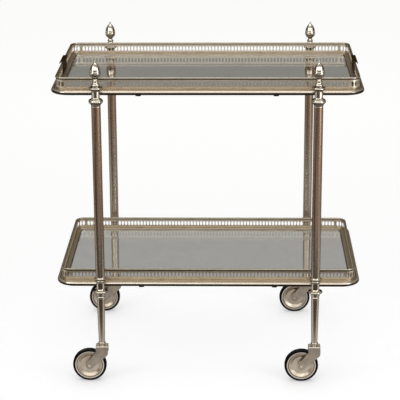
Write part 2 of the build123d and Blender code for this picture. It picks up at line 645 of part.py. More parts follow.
# Finials: bell, ring, neck and a bud in its cup, screwed on the tie rod
with BuildPart() as finial:
    with BuildSketch(TURNING_PLANE):
        with BuildLine():
            bell_r = FINIAL_BELL_R - FINIAL_BELL_SWELL
            ring_r = FINIAL_RING_R - FINIAL_RING_SWELL
            base = Line((0, 0), (bell_r, 0))
            lip = SagittaArc(base @ 1, (bell_r, FINIAL_BELL_HEIGHT), -FINIAL_BELL_SWELL)
            bell = SagittaArc(lip @ 1, (ring_r, FINIAL_RING_BASE), FINIAL_SHOULDER_HOLLOW)
            ring = SagittaArc(bell @ 1, (ring_r, FINIAL_RING_TOP), -FINIAL_RING_SWELL)
            neck = ThreePointArc(ring @ 1, (FINIAL_NECK_R, FINIAL_NECK_Z), (BUD_BASE_R, BUD_BASE_Z))
            cup = SagittaArc(neck @ 1, (BUD_CUP_R, BUD_CUP_Z), -BUD_CUP_SWELL)
            brim = Line(cup @ 1, (BUD_CUP_R - BUD_STEP, BUD_CUP_Z + BUD_BRIM))
            bud = SagittaArc(brim @ 1, (BUD_TIP_R, BUD_TIP_Z), -BUD_SWELL)
            bead_z = BUD_TIP_Z + sqrt(TIP_BEAD_R**2 - BUD_TIP_R**2)
            bead = ThreePointArc(bud @ 1, (TIP_BEAD_R, bead_z), (0, bead_z + TIP_BEAD_R))
            Line(bead @ 1, base @ 0)
        make_face()
    revolve(axis=Axis.Z)
    disc(ROD_FIT_R, 0, FINIAL_BORE_DEPTH, Mode.SUBTRACT)
save_on_posts(Pos(0, 0, FINIAL_SEAT_Z) * finial.part, "finial")

# Legs: tapered turnings with a foot ring, a rod bore above and a socket bore below
with BuildPart() as leg:
    ankle_z = LEG_FOOT_Z + FOOT_RING_HEIGHT
    with BuildSketch(TURNING_PLANE):
        with BuildLine():
            shin = Polyline((0, LEG_TOP_Z), (LEG_TOP_R, LEG_TOP_Z), (LEG_ANKLE_R, ankle_z))
            ring = ThreePointArc(
                shin @ 1,
                (FOOT_RING_R, LEG_FOOT_Z + FOOT_RING_HEIGHT / 2),
                (LEG_ANKLE_R, LEG_FOOT_Z),
            )
            Polyline(ring @ 1, (0, LEG_FOOT_Z), (0, LEG_TOP_Z))
        make_face()
    revolve(axis=Axis.Z)
    disc(ROD_FIT_R, LEG_TOP_Z - LEG_BORE_DEPTH, LEG_TOP_Z, Mode.SUBTRACT)
    disc(SOCKET_R + FIT, LEG_FOOT_Z, LEG_FOOT_Z + SOCKET_LENGTH, Mode.SUBTRACT)
save_on_posts(leg.part, "leg")

# Tie rods that clamp each post together, and the caster sockets in the legs
with BuildPart() as tie_rods:
    rod_base = LEG_TOP_Z - LEG_BORE_DEPTH + ROD_END_GAP
    with BuildSketch(Plane.XY.offset(rod_base)):
        with Locations(*[(x, y) for x, y, turn in POSTS.values()]):
            Circle(ROD_R)
    extrude(amount=FINIAL_SEAT_Z + FINIAL_BORE_DEPTH - ROD_END_GAP - rod_base)
save(tie_rods.part, "tie_rods")

with BuildPart() as stem_sockets:
    with BuildSketch(Plane.XY.offset(LEG_FOOT_Z)):
        with Locations(*[(x, y) for x, y, turn in POSTS.values()]):
            Circle(SOCKET_R)
            Circle(SOCKET_BORE_R, mode=Mode.SUBTRACT)
    extrude(amount=SOCKET_LENGTH)
save(stem_sockets.part, "stem_sockets")


def tangent_point(x, z, side):
    """Where a line from (x, z) touches the fork's eye about the axle, on the chosen side."""
    bearing = atan2(z, x)
    swing = side * acos(FORK_EYE_R / hypot(x, z))
    return FORK_EYE_R * cos(bearing + swing), FORK_EYE_R * sin(bearing + swing)


# Casters, trailing towards -X; the axle runs along Y below the fork's eye
fork_left = CASTER_TRAIL - FORK_WIDTH / 2
fork_right = CASTER_TRAIL + FORK_WIDTH / 2
left_elbow = (fork_left, FORK_TOP - FORK_FRONT_DROP)
right_elbow = (fork_right, FORK_TOP - FORK_BACK_DROP)
with BuildPart() as fork:
    with BuildSketch(Plane.XZ):
        with BuildLine():
            Polyline(
                tangent_point(*left_elbow, 1),
                left_elbow,
                (fork_left, FORK_TOP),
                (fork_right, FORK_TOP),
                right_elbow,
                tangent_point(*right_elbow, -1),
                (0, 0),
                close=True,
            )
        make_face()
        Circle(FORK_EYE_R)
    extrude(amount=FORK_GAP / 2 + FORK_SHEET, both=True)
    elbows = fork.edges().filter_by(Axis.Y).filter_by(
        lambda e: abs(e.center().Z - left_elbow[1]) < FIT or abs(e.center().Z - right_elbow[1]) < FIT
    )
    fillet(elbows, radius=FORK_ELBOW_R)
    fillet(fork.edges().filter_by(Axis.X).group_by(Axis.Z)[-1], radius=FORK_BEND_R)
    with BuildSketch(Plane.XZ):
        with Locations(((fork_left + fork_right) / 2, 0)):
            Rectangle(2 * (FORK_WIDTH + CASTER_TRAIL), 2 * (FORK_TOP - FORK_TOP_SHEET))
    extrude(amount=FORK_GAP / 2, both=True, mode=Mode.SUBTRACT)
    with BuildSketch(Plane.XZ):
        Circle(AXLE_R + FIT)
    extrude(amount=FORK_GAP, both=True, mode=Mode.SUBTRACT)
    with BuildSketch(Plane.XY.offset(FORK_TOP)):
        with Locations((CASTER_TRAIL, 0)):
            Circle(STEM_R + FIT)
    extrude(amount=-2 * FORK_TOP_SHEET, mode=Mode.SUBTRACT)

with BuildPart() as stem:
    plate_base = FORK_TOP_Z - FORK_TOP_SHEET
    disc(STEM_HEAD_R, plate_base - STEM_HEAD_HEIGHT, plate_base)
    disc(STEM_R, plate_base, LEG_FOOT_Z + SOCKET_LENGTH - STEM_END_GAP)
    disc(STEM_WASHER_R, FORK_TOP_Z, FORK_TOP_Z + STEM_WASHER_HEIGHT)

with BuildPart() as axle:
    axle_half = FORK_GAP / 2 + FORK_SHEET
    with BuildSketch(Plane.XZ):
        Circle(AXLE_R)
    extrude(amount=axle_half, both=True)
    for outward in (-1, 1):
        with BuildSketch(Plane((0, outward * axle_half, 0), x_dir=(1, 0, 0), z_dir=(0, outward, 0))):
            Circle(AXLE_HEAD_R)
        extrude(amount=AXLE_HEAD_HEIGHT, taper=AXLE_HEAD_TAPER)

with BuildPart() as wheel:
    hub_half = FORK_GAP / 2 - HUB_GAP
    bore_r = AXLE_R + RUNNING_FIT
    groove_half = RIM_GROOVE_WIDTH / 2
    rim_r = TYRE_BASE_R - FIT
    with BuildSketch(Plane.XY):
        with BuildLine():
            half = Polyline(
                (bore_r, 0),
                (bore_r, hub_half),
                (HUB_R, hub_half),
                (HUB_R, DISC_HALF_WIDTH),
                (DISH_INNER_R, DISC_HALF_WIDTH),
                (DISH_OUTER_R, RIM_HALF_WIDTH),
                (RIM_GROOVE_R - groove_half, RIM_HALF_WIDTH),
                (RIM_GROOVE_R, RIM_HALF_WIDTH - RIM_GROOVE_DEPTH),
                (RIM_GROOVE_R + groove_half, RIM_HALF_WIDTH),
                (rim_r, RIM_HALF_WIDTH),
                (rim_r, 0),
            )
            mirror(half, about=Plane.XZ)
        make_face()
    revolve(axis=Axis.Y)

with BuildPart() as tyre:
    with BuildSketch(Plane.XY) as tyre_section:
        with Locations(((TYRE_BASE_R + WHEEL_R) / 2, 0)):
            Rectangle(WHEEL_R - TYRE_BASE_R, TYRE_WIDTH)
        fillet(tyre_section.vertices().group_by(Axis.X)[-1], radius=TYRE_SHOULDER)
        fillet(tyre_section.vertices().group_by(Axis.X)[0], radius=TYRE_LIP)
    revolve(axis=Axis.Y)

for post, (x, y, turn) in POSTS.items():
    axle_place = Pos(x - CASTER_TRAIL, y, WHEEL_R)
    save(axle_place * fork.part, f"fork_{post}")
    save(Pos(x, y, 0) * stem.part, f"stem_{post}")
    save(axle_place * axle.part, f"axle_{post}")
    save(axle_place * wheel.part, f"wheel_{post}")
    save(axle_place * tyre.part, f"tyre_{post}")
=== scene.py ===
# %% [markdown]
# # A two tier serving trolley in silver plate and glass
# The real trolley is turned and drawn metal: four posts built from spools, tubes, finials and tapered
# legs hold two trays with pierced galleries. The imported model gives every piece its place and size, so
# this lesson only dresses it. We load it first.

import bmesh
import bpy
import numpy as np
from mathutils import Matrix, Vector


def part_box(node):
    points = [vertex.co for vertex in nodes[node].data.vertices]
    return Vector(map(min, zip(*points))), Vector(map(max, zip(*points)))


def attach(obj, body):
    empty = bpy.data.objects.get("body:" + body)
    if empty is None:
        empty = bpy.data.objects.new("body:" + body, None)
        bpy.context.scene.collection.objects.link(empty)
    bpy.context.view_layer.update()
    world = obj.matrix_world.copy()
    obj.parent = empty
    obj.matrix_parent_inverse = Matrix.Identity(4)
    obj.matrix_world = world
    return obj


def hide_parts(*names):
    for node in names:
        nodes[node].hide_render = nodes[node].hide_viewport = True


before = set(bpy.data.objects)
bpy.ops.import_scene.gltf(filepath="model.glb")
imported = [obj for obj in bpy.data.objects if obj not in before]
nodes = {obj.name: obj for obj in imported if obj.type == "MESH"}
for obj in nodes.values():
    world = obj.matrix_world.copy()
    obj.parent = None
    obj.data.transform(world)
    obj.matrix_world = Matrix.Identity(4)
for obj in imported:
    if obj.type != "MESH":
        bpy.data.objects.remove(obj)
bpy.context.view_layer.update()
MM = 0.001
POSTS = ("front_left", "front_right", "rear_left", "rear_right")

# %% [markdown]
# ## The camera
# The photograph looks down on the long side from a little to the right, through a long lens. A camera
# is only a place, three axes and a lens, so we write those as sizes and angles and build the matrix.

# %% Camera
CAMERA_PLACE = Vector((0.06344, -3.64008, 1.53107))
CAMERA_YAW = np.radians(-1.349)
CAMERA_PITCH = np.radians(17.566)
CAMERA_ROLL = np.radians(-0.309)
CAMERA_LENS = 140.46


def camera_axes(yaw, pitch, roll):
    """Columns of the camera's turn: aim by yaw and pitch, then roll right and up about the aim."""
    aim = Vector((np.sin(yaw) * np.cos(pitch), np.cos(yaw) * np.cos(pitch), -np.sin(pitch)))
    right = Vector((np.cos(yaw), -np.sin(yaw), 0))
    up = right.cross(aim)
    side = np.cos(roll) * right + np.sin(roll) * up
    top = -np.sin(roll) * right + np.cos(roll) * up
    return Matrix((side, top, -aim)).transposed()


camera = bpy.data.objects.new("camera", bpy.data.cameras.new("camera"))
camera.data.lens = CAMERA_LENS
camera.matrix_world = Matrix.Translation(CAMERA_PLACE) @ camera_axes(
    CAMERA_YAW, CAMERA_PITCH, CAMERA_ROLL
).to_4x4()
bpy.context.scene.collection.objects.link(camera)
bpy.context.scene.camera = camera
bpy.context.scene.view_settings.view_transform = "Standard"
print("camera at", tuple(round(v, 3) for v in camera.location))

# %% [markdown]
# ## Small helpers for shader nodes
# A material is a graph of nodes. It could be drawn by hand in the shader editor, but a script can be
# read and repeated. One helper adds a node and sets its values or links in one go, and three more do
# what nearly every graph needs: a step of arithmetic, a smooth change of range and a mix of colours.

# %% Node helpers


def add_node(tree, kind, values=None, **settings):
    """Add a node; each value is set on its input socket, or linked when it is an output socket."""
    made = tree.nodes.new("ShaderNode" + kind)
    for key, value in settings.items():
        setattr(made, key, value)
    for key, value in (values or {}).items():
        if isinstance(value, bpy.types.NodeSocket):
            tree.links.new(value, made.inputs[key])
        else:
            made.inputs[key].default_value = value
    return made


def math(tree, operation, a, b=0.0):
    """One arithmetic step on two numbers or sockets."""
    return add_node(tree, "Math", {0: a, 1: b}, operation=operation).outputs[0]


def ramp(tree, value, low, high, to_low=0.0, to_high=1.0):
    """Move a number smoothly from one range into another, clamped at both ends."""
    values = {"Value": value, "From Min": low, "From Max": high, "To Min": to_low, "To Max": to_high}
    return add_node(tree, "MapRange", values, interpolation_type="SMOOTHSTEP").outputs["Result"]


def blend(tree, share, first, second):
    """Mix two colours by a share from 0 to 1."""
    return add_node(tree, "Mix", {0: share, 6: first, 7: second}, data_type="RGBA").outputs[2]


print("node helpers ready")

# %% [markdown]
# ## Shared effects
# Old plate tarnishes in patches, and here it is also painted darker in corners and on undersides, as
# shade. Ambient occlusion finds corners on any mesh, and noise breaks the edge of the stain. Polishing
# leaves fine crossed marks, and dust lies on what faces up. All this could be painted on each piece, but
# a node group with named sockets is made once and then serves every material.

# %% Places, noise and groups


def own_place(tree):
    """The point being shaded, in the piece's own coordinates."""
    return add_node(tree, "TexCoord").outputs["Object"]


def split(tree, vector):
    """The X, Y and Z of a vector as three numbers."""
    return add_node(tree, "SeparateXYZ", {0: vector}).outputs


def upward(tree):
    """How far the surface faces up: 1 on top, 0 on a wall and -1 underneath."""
    return split(tree, add_node(tree, "NewGeometry").outputs["Normal"])["Z"]


def noise(tree, place, scale, detail, distortion=0.0):
    """Cloudy values from 0 to 1; a larger scale makes smaller clouds."""
    values = {"Vector": place, "Scale": scale, "Detail": detail, "Distortion": distortion}
    return add_node(tree, "TexNoise", values).outputs["Fac"]


def new_group(name, inputs, outputs):
    """A shader node group with named number sockets; returns the tree and its two ends."""
    tree = bpy.data.node_groups.new(name, "ShaderNodeTree")
    for label, value in inputs:
        socket = tree.interface.new_socket(label, in_out="INPUT", socket_type="NodeSocketFloat")
        socket.default_value = value
    for label in outputs:
        tree.interface.new_socket(label, in_out="OUTPUT", socket_type="NodeSocketFloat")
    return tree, tree.nodes.new("NodeGroupInput").outputs, tree.nodes.new("NodeGroupOutput").inputs


print("group helpers ready")

# %% Tarnish
UNDER_SOFTNESS = 0.38

tarnish_and_shade_group, given, result = new_group(
    "corner_tarnish_and_shade",
    [
        ("Reach", 0.006), ("Patch Size", 60.0), ("Strength", 1.0),
        ("Underside", 0.0), ("Turns Under", 0.08),
    ],
    ["Mask"],
)
tree = tarnish_and_shade_group
open_sky = add_node(tree, "AmbientOcclusion", {"Distance": given["Reach"]}, samples=8).outputs["AO"]
patches = noise(tree, own_place(tree), given["Patch Size"], 4.0)
# Ambient occlusion darkens corners: painted shade, broken into patches of tarnish by the noise.
corner = ramp(tree, open_sky, 0.35, 0.95, 1.0, 0.0)
corner_shade_and_tarnish = math(tree, "MULTIPLY", corner, ramp(tree, patches, 0.25, 0.7, 0.55, 1.0))
shade_and_blotches = math(tree, "ADD", corner_shade_and_tarnish, ramp(tree, patches, 0.50, 0.75, 0.0, 0.12))
tarnish_and_shade_amount = math(tree, "MULTIPLY", shade_and_blotches, given["Strength"])
# Faces that turn under are painted dark, as shade.
fully_under = math(tree, "SUBTRACT", given["Turns Under"], UNDER_SOFTNESS)
downward = ramp(tree, upward(tree), fully_under, given["Turns Under"], 1.0, 0.0)
painted_underside_shade = math(tree, "MULTIPLY", downward, given["Underside"])
mask = math(tree, "MINIMUM", math(tree, "MAXIMUM", tarnish_and_shade_amount, painted_underside_shade), 1.0)
tree.links.new(mask, result["Mask"])
print("made", tarnish_and_shade_group.name)

# %% Polish marks
MARKS_ALONG, MARKS_ACROSS = 60, 900

polish_group, given, result = new_group("polish_marks", [("Scale", 1.0)], ["Mask", "Height"])
tree = polish_group
place = own_place(tree)
marks = []
for squeeze in ((MARKS_ACROSS, MARKS_ALONG, MARKS_ALONG), (MARKS_ALONG, MARKS_ALONG, MARKS_ACROSS)):
    stretched = add_node(tree, "Mapping", {"Vector": place, "Scale": squeeze}).outputs[0]
    sizes = {0: stretched, "Scale": given["Scale"]}
    scaled = add_node(tree, "VectorMath", sizes, operation="SCALE").outputs[0]
    marks.append(noise(tree, scaled, 1.0, 3.0))
both = math(tree, "MULTIPLY", math(tree, "ADD", *marks), 0.5)
tree.links.new(ramp(tree, both, 0.38, 0.66), result["Mask"])
tree.links.new(both, result["Height"])
print("made", polish_group.name)

# %% Settled dust
dust_group, given, result = new_group("settled_dust", [("Amount", 0.3)], ["Mask"])
tree = dust_group
specks = ramp(tree, noise(tree, own_place(tree), 220.0, 5.0), 0.4, 0.75)
lying = math(tree, "MULTIPLY", ramp(tree, upward(tree), 0.5, 0.95), specks)
tree.links.new(math(tree, "MULTIPLY", lying, given["Amount"]), result["Mask"])
print("node groups:", [group.name for group in bpy.data.node_groups])

# %% [markdown]
# ## Silver plate
# Nearly all the metal is the same warm plate, and one function wires it. Its values make the states
# that the trolley shows: bright turnings, brushed trays, grips painted dark as shade and drawn columns,
# which are red brown above and greyer below. Turned metal is also painted darker where it curves away
# from us, for the dim sides of the room that it would mirror there, and each gallery has a painted
# shadow line under its wire.

# %% Material helpers


def use_group(tree, group, values=None):
    """Place a node group in a material with its own values."""
    return add_node(tree, "Group", values, node_tree=group).outputs


def new_material(name):
    """An empty material with its Principled shader ready to wire."""
    made = bpy.data.materials.new(name)
    made.use_nodes = True
    return made, made.node_tree, made.node_tree.nodes["Principled BSDF"]


def dress(tree, shader, colour, gloss, plain):
    """Wire a colour and a roughness into the shader, and set its plain numbers."""
    tree.links.new(colour, shader.inputs["Base Color"])
    tree.links.new(gloss, shader.inputs["Roughness"])
    for label, value in plain.items():
        shader.inputs[label].default_value = value


def emboss(tree, shader, height, strength, distance):
    """Let a height, at most the given distance, tilt the light on the surface."""
    relief = add_node(tree, "Bump", {"Strength": strength, "Distance": distance, "Height": height})
    tree.links.new(relief.outputs[0], shader.inputs["Normal"])


print("material helpers ready, with", len(bpy.data.node_groups), "effects to share")

# %% Silver plate
PLATE, DARK = (0.84, 0.75, 0.60), (0.07, 0.05, 0.035)
EDGE_TINT = (0.35, 0.30, 0.25, 1)
UNDER_WIRE = 0.0032
FRONT_Y, REAR_Y = -0.1, 0.1
GREY_BELOW, BROWN_ABOVE, REAR_LIFT = 0.26, 0.46, 0.1


def silver_plate(
    name, bright, stain, rough, strength, under, line=None, turn=0.08, marks=0.012, rim=0.6, low=None
):
    """Plate that darkens by its tarnish and painted corner shade, and by painted shade as it turns
    under.

    The line is the height of a wire whose shadow is painted below it, marks is the depth of its polish
    marks, rim is how dark its painted rim shade gets where it curves away, and low is the colour that it
    takes lower down.
    """
    made, tree, shader = new_material(name)
    tarnish_and_shade_amount = {"Strength": strength, "Underside": under, "Turns Under": turn}
    tarnish_and_shade = use_group(tree, tarnish_and_shade_group, tarnish_and_shade_amount)["Mask"]
    # A painted shadow line runs under the gallery's wire, deeper at the front.
    if line is not None:
        place = split(tree, own_place(tree))
        depth = ramp(tree, place["Y"], FRONT_Y, REAR_Y, 0.95, 0.5)
        shadow = ramp(tree, place["Z"], line - UNDER_WIRE, line - UNDER_WIRE / 2)
        tarnish_and_shade = math(tree, "MAXIMUM", tarnish_and_shade, math(tree, "MULTIPLY", shadow, depth))
    fresh = (*bright, 1)
    if low is not None:
        place = split(tree, own_place(tree))
        lift = ramp(tree, place["Y"], FRONT_Y, REAR_Y, 0.0, REAR_LIFT)
        height = math(tree, "SUBTRACT", place["Z"], lift)
        fresh = blend(tree, ramp(tree, height, GREY_BELOW, BROWN_ABOVE, 1.0, 0.0), fresh, (*low, 1))
    polish = use_group(tree, polish_group)
    shade = blend(tree, tarnish_and_shade, fresh, (*stain, 1))
    shade = blend(tree, math(tree, "MULTIPLY", polish["Mask"], 0.06), shade, (*stain, 1))
    # Painted dark rim where the plate curves away, for the dim room that it would mirror.
    away = add_node(tree, "LayerWeight", {"Blend": 0.5}).outputs["Facing"]
    shade = blend(tree, ramp(tree, away, 0.4, 0.85, 0.0, rim), shade, (*DARK, 1))
    gloss = math(tree, "ADD", math(tree, "MULTIPLY", polish["Mask"], 0.05), rough)
    gloss = math(tree, "ADD", gloss, math(tree, "MULTIPLY", tarnish_and_shade, 0.15))
    dress(tree, shader, shade, gloss, {"Metallic": 1.0, "Specular Tint": EDGE_TINT})
    emboss(tree, shader, polish["Height"], marks, 0.0004)
    return made


print("silver plate ready, from", PLATE, "to", DARK)

# %% Plate finishes
UPPER_LINE, LOWER_LINE = (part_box(f"{tier}_gallery")[1].z for tier in ("upper", "lower"))

bright_plate = silver_plate(
    "bright_plate", (0.88, 0.81, 0.68), (0.13, 0.09, 0.055),
    rough=0.11, strength=0.7, under=0.7, rim=0.75,
)
# The rail's undersides, and its lower walls, are painted nearly black, as the shade under the moulding.
rail_plate = silver_plate(
    "rail_plate", (0.92, 0.83, 0.70), (0.045, 0.03, 0.02),
    rough=0.16, strength=0.5, under=0.97, turn=0.5, rim=0.0,
)
# The deck's undersides take painted shade as well.
deck_plate = silver_plate(
    "deck_plate", (0.82, 0.73, 0.59), DARK, rough=0.34, strength=0.4, under=0.9, rim=0.0
)
wire_plate = silver_plate("wire_plate", PLATE, DARK, rough=0.22, strength=0.4, under=0.6, rim=0.3)
upper_pierced = silver_plate(
    "upper_pierced", PLATE, DARK, rough=0.36, strength=0.5, under=0.5, line=UPPER_LINE, rim=0.0
)
lower_pierced = silver_plate(
    "lower_pierced", PLATE, DARK, rough=0.34, strength=0.5, under=0.5, line=LOWER_LINE, rim=0.0
)
column_plate = silver_plate(
    "column_plate", (0.42, 0.285, 0.20), (0.20, 0.13, 0.09),
    rough=0.24, strength=0.2, under=0.0, marks=0.0, rim=0.55, low=(0.58, 0.50, 0.41),
)
# The grips are painted dark, as the shade on their inner faces.
painted_shade_grip_plate = silver_plate(
    "painted_shade_grip_plate", (0.15, 0.105, 0.065), (0.03, 0.02, 0.014), rough=0.30, strength=0.6, under=0.9
)
leg_plate = silver_plate(
    "leg_plate", (0.68, 0.60, 0.49), (0.22, 0.15, 0.10),
    rough=0.20, strength=0.5, under=0.3, rim=0.8,
)
print("plate finishes:", [m.name for m in bpy.data.materials if m.name.endswith(("plate", "pierced"))])

# %% [markdown]
# ## Fork plate
# The caster forks are bent sheet with a satin plate, duller than the turnings, clouded with use and
# given a painted highlight on the crown, which faces up. One fine noise serves twice: as grain in the
# gloss and as relief.

# %% Fork plate
fork_plate, tree, shader = new_material("fork_plate")
place = own_place(tree)
grain = noise(tree, place, 900.0, 3.0)
cloud = noise(tree, place, 55.0, 4.0)
tarnish_and_shade = use_group(tree, tarnish_and_shade_group, {"Reach": 0.008, "Strength": 0.9})["Mask"]
colour = blend(tree, ramp(tree, cloud, 0.35, 0.7), (0.60, 0.52, 0.42, 1), (0.45, 0.39, 0.31, 1))
colour = blend(tree, tarnish_and_shade, colour, (0.15, 0.11, 0.07, 1))
# Painted highlight on whatever faces up.
colour = blend(tree, ramp(tree, upward(tree), 0.2, 0.6), colour, (0.95, 0.88, 0.74, 1))
dress(tree, shader, colour, ramp(tree, grain, 0.3, 0.7, 0.32, 0.46), {"Metallic": 1.0})
emboss(tree, shader, grain, 0.12, 0.0003)
print("made", fork_plate.name)

# %% [markdown]
# ## Wheel alloy
# The wheel discs are spun, so their marks are rings about the axle. The groove inside the rim is painted
# dark and the rim takes a painted highlight. Rings could be modelled, but these are too shallow for
# that, so a wave of the radius tilts the light instead. The lathe below stores each point's radius as an
# attribute for it.

# %% Wheel alloy
RING_SPACING = 0.0006
GROOVE_R = 0.0305
RIM_FROM, RIM_TO = 0.0308, 0.0316

wheel_alloy, tree, shader = new_material("wheel_alloy")
radius = add_node(tree, "Attribute", attribute_name="radius").outputs["Fac"]
rings = math(tree, "SINE", math(tree, "MULTIPLY", radius, 2 * np.pi / RING_SPACING))
off_groove = math(tree, "ABSOLUTE", math(tree, "SUBTRACT", radius, GROOVE_R))
cloud = noise(tree, own_place(tree), 70.0, 5.0)
tarnish_and_shade_amount = {"Reach": 0.004, "Strength": 0.3, "Underside": 0.5}
tarnish_and_shade = use_group(tree, tarnish_and_shade_group, tarnish_and_shade_amount)["Mask"]
# The groove inside the rim is painted dark.
tarnish_and_shade = math(tree, "MAXIMUM", tarnish_and_shade, ramp(tree, off_groove, 0.0006, 0.0012, 0.95, 0.0))
colour = blend(tree, ramp(tree, cloud, 0.35, 0.7), (0.82, 0.72, 0.58, 1), (0.70, 0.59, 0.47, 1))
# Painted highlight on the rim.
colour = blend(tree, ramp(tree, radius, RIM_FROM, RIM_TO), colour, (0.96, 0.88, 0.76, 1))
colour = blend(tree, tarnish_and_shade, colour, (0.17, 0.12, 0.08, 1))
dress(tree, shader, colour, ramp(tree, cloud, 0.3, 0.7, 0.30, 0.38), {"Metallic": 1.0})
emboss(tree, shader, rings, 0.015, 0.0003)
print("made", wheel_alloy.name)

# %% [markdown]
# ## Tyre rubber
# The tyres are dull black rubber with fine pores, greyed on top by dust. Rubber is no metal: all that
# it mirrors is a weak, broad sheen, so its specular level is low and its roughness high.

# %% Tyre rubber
tyre_rubber, tree, shader = new_material("tyre_rubber")
place = own_place(tree)
cloud = noise(tree, place, 90.0, 6.0)
pores = noise(tree, place, 1400.0, 2.0)
dust = use_group(tree, dust_group, {"Amount": 0.35})["Mask"]
colour = blend(tree, ramp(tree, cloud, 0.35, 0.7), (0.002, 0.002, 0.002, 1), (0.005, 0.0045, 0.0045, 1))
colour = blend(tree, dust, colour, (0.22, 0.21, 0.19, 1))
dress(tree, shader, colour, ramp(tree, cloud, 0.3, 0.7, 0.5, 0.62), {"Specular IOR Level": 0.12})
emboss(tree, shader, pores, 0.15, 0.0002)
print("made", tyre_rubber.name)

# %% [markdown]
# ## Shelf glass
# The shelves are clear glass, faintly grey through its thickness, with smears that only the gloss
# shows. Lamps shine through real glass, but in a render it would cast a full shadow, so its alpha
# falls for shadow rays alone. The upper shelf mirrors more than the lower, so each has its own level.

# %% Shelf glass
LAMP_LOSS = 0.15


def shelf_glass(name, mirror):
    """Clear glass with faint smears; the last number is how strongly its surface mirrors."""
    made, tree, shader = new_material(name)
    smear = noise(tree, own_place(tree), 14.0, 6.0, 1.2)
    tint = blend(tree, ramp(tree, smear, 0.3, 0.7), (0.83, 0.84, 0.82, 1), (0.87, 0.88, 0.86, 1))
    plain = {"Transmission Weight": 1.0, "IOR": 1.5, "Specular IOR Level": mirror}
    dress(tree, shader, tint, ramp(tree, smear, 0.45, 0.8, 0.0, 0.03), plain)
    lamp_ray = add_node(tree, "LightPath").outputs["Is Shadow Ray"]
    tree.links.new(ramp(tree, lamp_ray, 0.0, 1.0, 1.0, LAMP_LOSS), shader.inputs["Alpha"])
    print("made", name)
    return made


upper_glass = shelf_glass("upper_shelf_glass", 0.5)
lower_glass = shelf_glass("lower_shelf_glass", 0.2)

# %% [markdown]
# ## Plain steel
# Screws, rods, sockets and stems are plain bright steel that hardly shows. The polish marks made for
# the plate serve them as well, a little finer.

# %% Plain steel
steel, tree, shader = new_material("steel")
polish = use_group(tree, polish_group, {"Scale": 1.5})["Mask"]
colour = blend(tree, polish, (0.70, 0.67, 0.61, 1), (0.50, 0.47, 0.42, 1))
dress(tree, shader, colour, ramp(tree, polish, 0.0, 1.0, 0.22, 0.34), {"Metallic": 1.0})
print("made", steel.name)

# %% [markdown]
# ## From arrays to pieces
# A turned or drawn piece is a grid of points: one direction follows the profile, the other goes round
# the axis or along the tray. Numpy gives all the points at once, and a second array joins them into
# quads. Doubles at the poles are merged so that every piece is a closed skin.

# %% Grids


def grid_faces(rows, columns, close_rows=False, close_columns=False):
    """Quads that join each grid point to its neighbours, wrapping round where a side is closed."""
    row, column = np.meshgrid(
        np.arange(rows if close_rows else rows - 1),
        np.arange(columns if close_columns else columns - 1),
        indexing="ij",
    )
    below, beside = (row + 1) % rows, (column + 1) % columns
    here, there = row * columns, below * columns
    corners = (here + column, here + beside, there + beside, there + column)
    return np.stack(corners, -1).reshape(-1, 4)


print("a strip of 2 by 5 points makes", len(grid_faces(2, 5)), "quads")

# %% Pieces
MERGE_DISTANCE = 1e-6


def add_piece(name, points, faces, body, material, stands_for, radius=None):
    """Make a mesh from arrays, merge its doubles, turn its faces outwards and set it on its body."""
    mesh = bpy.data.meshes.new(name)
    mesh.vertices.add(len(points))
    mesh.vertices.foreach_set("co", np.ascontiguousarray(points, np.float32).ravel())
    mesh.loops.add(faces.size)
    mesh.loops.foreach_set("vertex_index", faces.astype(np.int32).ravel())
    mesh.polygons.add(len(faces))
    mesh.polygons.foreach_set("loop_start", np.arange(0, faces.size, faces.shape[1], dtype=np.int32))
    if radius is not None:
        radii = mesh.attributes.new("radius", "FLOAT", "POINT")
        radii.data.foreach_set("value", radius.astype(np.float32))
    mesh.update(calc_edges=True)
    shell = bmesh.new()
    shell.from_mesh(mesh)
    bmesh.ops.remove_doubles(shell, verts=shell.verts, dist=MERGE_DISTANCE)
    bmesh.ops.recalc_face_normals(shell, faces=shell.faces)
    shell.to_mesh(mesh)
    shell.free()
    mesh.shade_smooth()
    mesh.materials.append(material)
    piece = bpy.data.objects.new(name, mesh)
    bpy.context.scene.collection.objects.link(piece)
    piece.modifiers.new("flat faces stay flat", "WEIGHTED_NORMAL").keep_sharp = True
    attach(piece, body)
    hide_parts(*stands_for)


print("points within", MERGE_DISTANCE, "m of each other will be merged")

# %% [markdown]
# ## Profiles
# A turner thinks in beads, hollows and straight runs. A profile here is a start point and steps: a
# pair is a straight run, and a third number is how far the middle of the run swells out or in, which
# makes it an arc. Real edges are never knife sharp, so every corner is then eased by a small curve.

# %% Runs and arcs
ARC_STEPS = 10
TINY = 1e-9


def outline(start, *steps):
    """Points along runs and arcs; an arc's third number is how far it leaves its chord, to the left."""
    points = [np.array([start], float)]
    for step in steps:
        first, last = points[-1][-1], np.array(step[:2], float)
        bulge = step[2] if len(step) == 3 else 0.0
        share = np.linspace(0, 1, ARC_STEPS + 1 if bulge else 2)[1:, None]
        chord = last - first
        left = np.array([-chord[1], chord[0]]) / max(np.hypot(*chord), TINY)
        half = np.hypot(*chord) / 2
        if bulge:
            radius = (half**2 + bulge**2) / (2 * abs(bulge))
            sweep = 2 * np.arcsin(min(half / radius, 1.0))
            turn = (share - 0.5) * sweep
            rise = radius * np.cos(turn) - (radius - abs(bulge))
            run = (radius * np.sin(turn) / half + 1) / 2
            points.append(first + run * chord + np.sign(bulge) * rise * left)
        else:
            points.append(first + share * chord)
    return np.concatenate(points)


print("an arc is drawn in", ARC_STEPS, "steps")

# %% Eased corners
EASE_STEPS = np.linspace(0, 1, 4)[None, :, None]
MOST_OF_RUN = 0.4


